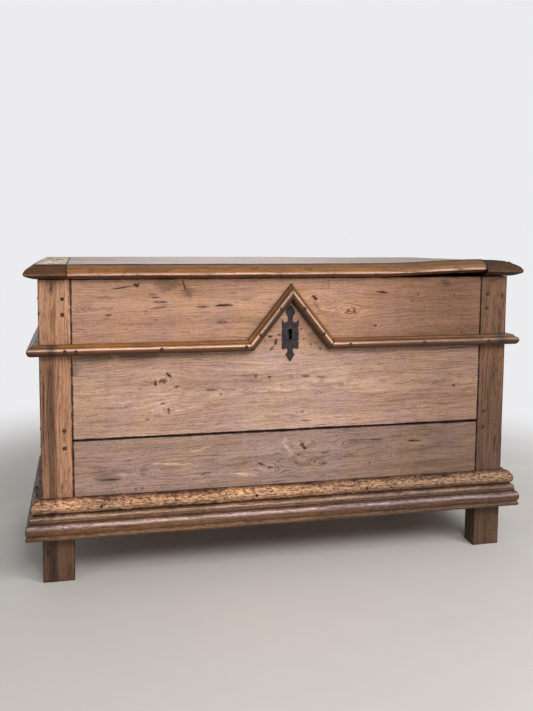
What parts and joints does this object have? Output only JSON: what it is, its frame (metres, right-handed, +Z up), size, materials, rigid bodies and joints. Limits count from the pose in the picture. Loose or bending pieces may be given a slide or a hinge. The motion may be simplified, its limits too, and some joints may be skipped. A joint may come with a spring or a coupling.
{
  "type": "storage chest",
  "caption": "Joined plank storage chest on post feet, with a hinged cleated lid, a chevron moulding over the lock, a moulded plinth and forged ironwork.",
  "frame": {"origin": "on the floor under the middle of the whole chest", "axes": "+X along the front to the right as seen from the front, +Y from the front to the back, +Z up"},
  "size_m": [1.38, 0.691, 0.831],
  "materials": {
    "stile_oak": "waxed, worn",
    "panel_oak": "dry, aged",
    "side_oak": "waxed, worn",
    "back_oak": "unfinished, aged",
    "floor_oak": "unfinished, dry",
    "rail_oak": "waxed",
    "plinth_oak": "worn, worm-eaten",
    "lid_oak": "bleached, worn",
    "lid_end_oak": "bleached, worn",
    "peg_oak": "dark, waxed",
    "forged_iron": "forged, dark",
    "lock_iron": "forged, dull",
    "hinge_iron": "forged, dull",
    "nail_iron": "forged, rusted"
  },
  "bodies": {
    "carcass": {"front_left_stile": "stile_oak", "front_right_stile": "stile_oak", "back_left_stile": "stile_oak", "back_right_stile": "stile_oak", "front_lower_board": "panel_oak", "front_upper_board": "panel_oak", "left_lower_board": "side_oak", "left_upper_board": "side_oak", "right_lower_board": "side_oak", "right_upper_board": "side_oak", "back_lower_board": "back_oak", "back_upper_board": "back_oak", "floor_board_1": "floor_oak", "floor_board_2": "floor_oak", "floor_board_3": "floor_oak", "floor_board_4": "floor_oak", "floor_board_5": "floor_oak", "front_floor_ledger": "floor_oak", "back_floor_ledger": "floor_oak", "rail_front_left": "rail_oak", "rail_front_right": "rail_oak", "rail_left_side": "rail_oak", "rail_right_side": "rail_oak", "chevron_left_arm": "rail_oak", "chevron_right_arm": "rail_oak", "plinth_front": "plinth_oak", "plinth_left_side": "plinth_oak", "plinth_right_side": "plinth_oak", "stile_pegs": "peg_oak", "escutcheon": "forged_iron", "lock_plate": "lock_iron", "lock_cover": "lock_iron", "lock_bolt_guides": "lock_iron", "lock_spring": "lock_iron", "hinge_leaf_left": "hinge_iron", "hinge_leaf_right": "hinge_iron", "hinge_pins": "hinge_iron", "rail_nails": "nail_iron", "plinth_nails": "nail_iron", "floor_nails": "nail_iron", "hinge_leaf_nails": "nail_iron", "escutcheon_nails": "nail_iron", "lock_nails": "nail_iron"},
    "lid": {"lid_front_board": "lid_oak", "lid_back_board": "lid_oak", "lid_left_cleat": "lid_end_oak", "lid_right_cleat": "lid_end_oak", "lid_pegs": "peg_oak", "hinge_strap_left": "hinge_iron", "hinge_strap_right": "hinge_iron", "hinge_strap_nails": "nail_iron", "lid_hasp": "lock_iron", "hasp_nails": "nail_iron"},
    "lock_bolt": {"lock_bolt": "lock_iron"}
  },
  "joints": [
    {"name": "lid_hinge", "type": "hinge", "parent": "carcass", "child": "lid", "pos_m": [0, 0.3255, 0.7908], "axis": [-1, 0, 0], "range_deg": [0, 110]},
    {"name": "bolt_slide", "type": "slide", "parent": "carcass", "child": "lock_bolt", "axis": [1, 0, 0], "range_m": [0, 0.014]}
  ]
}
